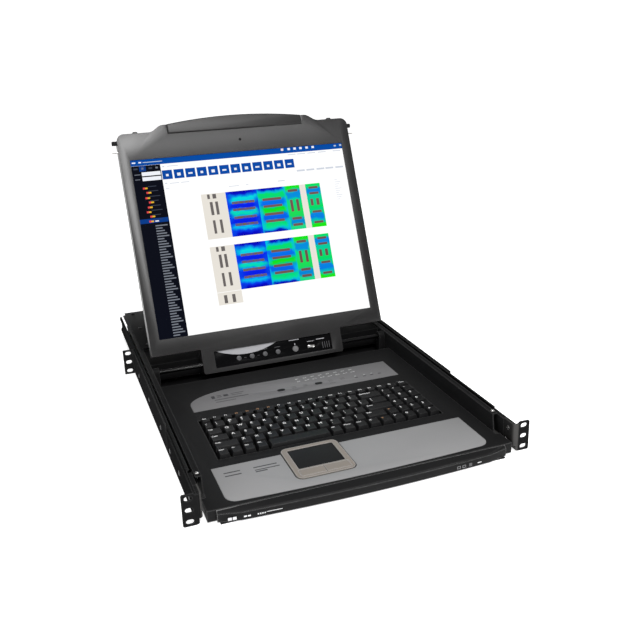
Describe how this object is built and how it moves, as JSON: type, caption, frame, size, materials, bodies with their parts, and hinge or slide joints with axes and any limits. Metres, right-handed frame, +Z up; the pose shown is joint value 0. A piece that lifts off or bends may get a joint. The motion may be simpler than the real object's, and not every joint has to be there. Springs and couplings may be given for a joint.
{
  "type": "rack console with keyboard, screen and switch",
  "caption": "Black rack drawer on slides with a keyboard, touchpad, fold-up flat screen and computer ports at the back.",
  "frame": {"origin": "on the underside, midway between the rack ears, in the plane of the ears' front faces", "axes": "+X to the right seen from the front, +Y to the back, +Z up"},
  "size_m": [0.4826, 0.7245, 0.4191],
  "materials": {
    "black_steel": "matt black powder coat",
    "deck_black": "fine-grained black",
    "key_black": "satin black",
    "screen_black": "satin black",
    "silver": "satin silver paint",
    "beige_metal": "satin champagne paint",
    "zinc_steel": "zinc plated",
    "display_glass": "anti-glare screen",
    "circuit_board": "green solder mask"
  },
  "bodies": {
    "rack_frame": {"left_outer_rail": "black_steel", "right_outer_rail": "black_steel", "left_front_ear": "black_steel", "right_front_ear": "black_steel"},
    "left_rear_bracket": {"left_rear_bracket": "black_steel"},
    "right_rear_bracket": {"right_rear_bracket": "black_steel"},
    "middle_slide": {"left_middle_rail": "zinc_steel", "right_middle_rail": "zinc_steel"},
    "screen": {"screen_bezel": "screen_black", "screen_back": "screen_black", "screen_panel": "display_glass", "driver_board": "circuit_board", "screen_handle": "screen_black", "control_strip": "key_black", "usb_socket": "zinc_steel", "left_hinge_shaft": "zinc_steel", "right_hinge_shaft": "zinc_steel"},
    "space_bar": {"space_bar": "key_black"},
    "left_shift_key": {"left_shift_key": "key_black"},
    "enter_key": {"enter_key": "key_black"},
    "left_pad_button": {"left_pad_button": "beige_metal"},
    "right_pad_button": {"right_pad_button": "beige_metal"},
    "previous_port_button": {"previous_port_button": "key_black"},
    "next_port_button": {"next_port_button": "key_black"},
    "menu_button": {"menu_button": "silver"},
    "left_button": {"left_button": "silver"},
    "right_button": {"right_button": "silver"},
    "exit_button": {"exit_button": "silver"},
    "screen_power_button": {"screen_power_button": "silver"},
    "left_screen_lock": {"left_screen_lock": "key_black"},
    "right_screen_lock": {"right_screen_lock": "key_black"},
    "power_switch": {"power_switch": "key_black"},
    "drawer": {"bottom_key_row": "key_black", "computer_ports": "zinc_steel", "console_ports": "zinc_steel", "drawer_tray": "black_steel", "front_handle": "deck_black", "function_key_row": "key_black", "hinge_cover": "black_steel", "home_key_row": "key_black", "key_plate": "zinc_steel", "keyboard_deck": "deck_black", "left_flange_stud": "zinc_steel", "left_hinge_bracket": "black_steel", "left_inner_rail": "zinc_steel", "letter_key_row": "key_black", "main_board": "circuit_board", "number_key_row": "key_black", "power_inlet": "key_black", "power_supply": "zinc_steel", "rear_cover": "black_steel", "rear_panel": "black_steel", "right_flange_stud": "zinc_steel", "right_hinge_bracket": "black_steel", "right_inner_rail": "zinc_steel", "shift_key_row": "key_black", "touchpad": "key_black", "touchpad_frame": "beige_metal", "upper_panel": "silver", "wrist_panel": "silver"}
  },
  "joints": [
    {"name": "drawer_slide", "type": "slide", "parent": "rack_frame", "child": "drawer", "axis": [0, -1, 0], "range_m": [0, 0.46]},
    {"name": "middle_rail_slide", "type": "slide", "parent": "rack_frame", "child": "middle_slide", "axis": [0, -1, 0], "range_m": [0, 0.23]},
    {"name": "left_depth_slide", "type": "slide", "parent": "rack_frame", "child": "left_rear_bracket", "axis": [0, 1, 0], "range_m": [0, 0.15]},
    {"name": "right_depth_slide", "type": "slide", "parent": "rack_frame", "child": "right_rear_bracket", "axis": [0, 1, 0], "range_m": [0, 0.15]},
    {"name": "screen_hinge", "type": "hinge", "parent": "drawer", "child": "screen", "pos_m": [0, 0.404, 0.033], "axis": [1, 0, 0], "range_deg": [-6.2, 113.8]},
    {"name": "space_bar_press", "type": "slide", "parent": "drawer", "child": "space_bar", "axis": [0, 0, -1], "range_m": [0, 0.0024], "stiffness_N_per_m": 250, "springref_m": -0.0005},
    {"name": "left_shift_key_press", "type": "slide", "parent": "drawer", "child": "left_shift_key", "axis": [0, 0, -1], "range_m": [0, 0.0024], "stiffness_N_per_m": 250, "springref_m": -0.0005},
    {"name": "enter_key_press", "type": "slide", "parent": "drawer", "child": "enter_key", "axis": [0, 0, -1], "range_m": [0, 0.0024], "stiffness_N_per_m": 250, "springref_m": -0.0005},
    {"name": "left_pad_button_press", "type": "slide", "parent": "drawer", "child": "left_pad_button", "axis": [0, 0, -1], "range_m": [0, 0.0008], "stiffness_N_per_m": 500, "springref_m": -0.0005},
    {"name": "right_pad_button_press", "type": "slide", "parent": "drawer", "child": "right_pad_button", "axis": [0, 0, -1], "range_m": [0, 0.0008], "stiffness_N_per_m": 500, "springref_m": -0.0005},
    {"name": "previous_port_button_press", "type": "slide", "parent": "drawer", "child": "previous_port_button", "axis": [0, 0, -1], "range_m": [0, 0.0008], "stiffness_N_per_m": 500, "springref_m": -0.0005},
    {"name": "next_port_button_press", "type": "slide", "parent": "drawer", "child": "next_port_button", "axis": [0, 0, -1], "range_m": [0, 0.0008], "stiffness_N_per_m": 500, "springref_m": -0.0005},
    {"name": "menu_button_press", "type": "slide", "parent": "screen", "child": "menu_button", "axis": [0, 0.915, -0.4035], "range_m": [0, 0.001], "stiffness_N_per_m": 500, "springref_m": -0.0005},
    {"name": "left_button_press", "type": "slide", "parent": "screen", "child": "left_button", "axis": [0, 0.915, -0.4035], "range_m": [0, 0.001], "stiffness_N_per_m": 500, "springref_m": -0.0005},
    {"name": "right_button_press", "type": "slide", "parent": "screen", "child": "right_button", "axis": [0, 0.915, -0.4035], "range_m": [0, 0.001], "stiffness_N_per_m": 500, "springref_m": -0.0005},
    {"name": "exit_button_press", "type": "slide", "parent": "screen", "child": "exit_button", "axis": [0, 0.915, -0.4035], "range_m": [0, 0.001], "stiffness_N_per_m": 500, "springref_m": -0.0005},
    {"name": "screen_power_button_press", "type": "slide", "parent": "screen", "child": "screen_power_button", "axis": [0, 0.915, -0.4035], "range_m": [0, 0.001], "stiffness_N_per_m": 500, "springref_m": -0.0005},
    {"name": "left_screen_lock_press", "type": "slide", "parent": "screen", "child": "left_screen_lock", "axis": [1, 0, 0], "range_m": [0, 0.005], "stiffness_N_per_m": 300, "springref_m": -0.0005},
    {"name": "right_screen_lock_press", "type": "slide", "parent": "screen", "child": "right_screen_lock", "axis": [-1, 0, 0], "range_m": [0, 0.005], "stiffness_N_per_m": 300, "springref_m": -0.0005},
    {"name": "power_rocker", "type": "hinge", "parent": "drawer", "child": "power_switch", "pos_m": [0.146, 0.694, 0.022], "axis": [1, 0, 0], "range_deg": [0, 14]}
  ],
  "couplings": [
    {"joint": "middle_rail_slide", "follows": "drawer_slide", "ratio": 0.5}
  ]
}
